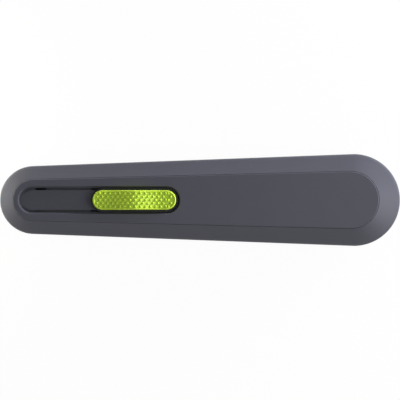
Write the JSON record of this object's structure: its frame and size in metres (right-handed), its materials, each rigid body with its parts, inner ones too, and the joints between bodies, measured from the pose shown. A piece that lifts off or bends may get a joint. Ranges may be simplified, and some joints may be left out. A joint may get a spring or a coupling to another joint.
{
  "type": "retractable utility knife",
  "caption": "Flat tapering utility knife with a broadly chamfered dark handle and a lime green thumb slide that pushes a spring-returned trapezoid blade out of the nose.",
  "frame": {"origin": "on the flat back face, midway along the handle and across it", "axes": "+X along the handle towards the tail, so the blade leaves towards -X; +Z out of the face that carries the thumb slide"},
  "size_m": [0.16, 0.0368, 0.02],
  "materials": {
    "handle_nylon": "dark blue-grey glass-filled nylon with a fine moulded grain",
    "lime_plastic": "lime green moulded plastic, satin",
    "black_acetal": "black acetal, smooth",
    "blade_steel": "hardened carbon steel, ground edge",
    "spring_steel": "spring steel, drawn and oiled",
    "zinc_steel": "zinc-plated steel",
    "brass": "turned brass"
  },
  "bodies": {
    "handle": {"top_shell": "handle_nylon", "bottom_shell": "handle_nylon", "return_spring": "spring_steel", "spring_anchor_pin": "zinc_steel", "shell_screw_left": "zinc_steel", "shell_screw_right": "zinc_steel", "shell_screw_tail": "zinc_steel", "screw_insert_left": "brass", "screw_insert_right": "brass", "screw_insert_tail": "brass"},
    "slide": {"thumb_cap": "lime_plastic", "slider_base": "black_acetal", "blade_carrier": "black_acetal", "blade": "blade_steel", "blade_keeper": "spring_steel", "keeper_rivet_left": "zinc_steel", "keeper_rivet_right": "zinc_steel"}
  },
  "joints": [
    {"name": "blade_slide", "type": "slide", "parent": "handle", "child": "slide", "axis": [-1, 0, 0], "range_m": [0, 0.0265], "stiffness_N_per_m": 60, "springref_m": -0.02, "deforming": ["return_spring"]}
  ]
}
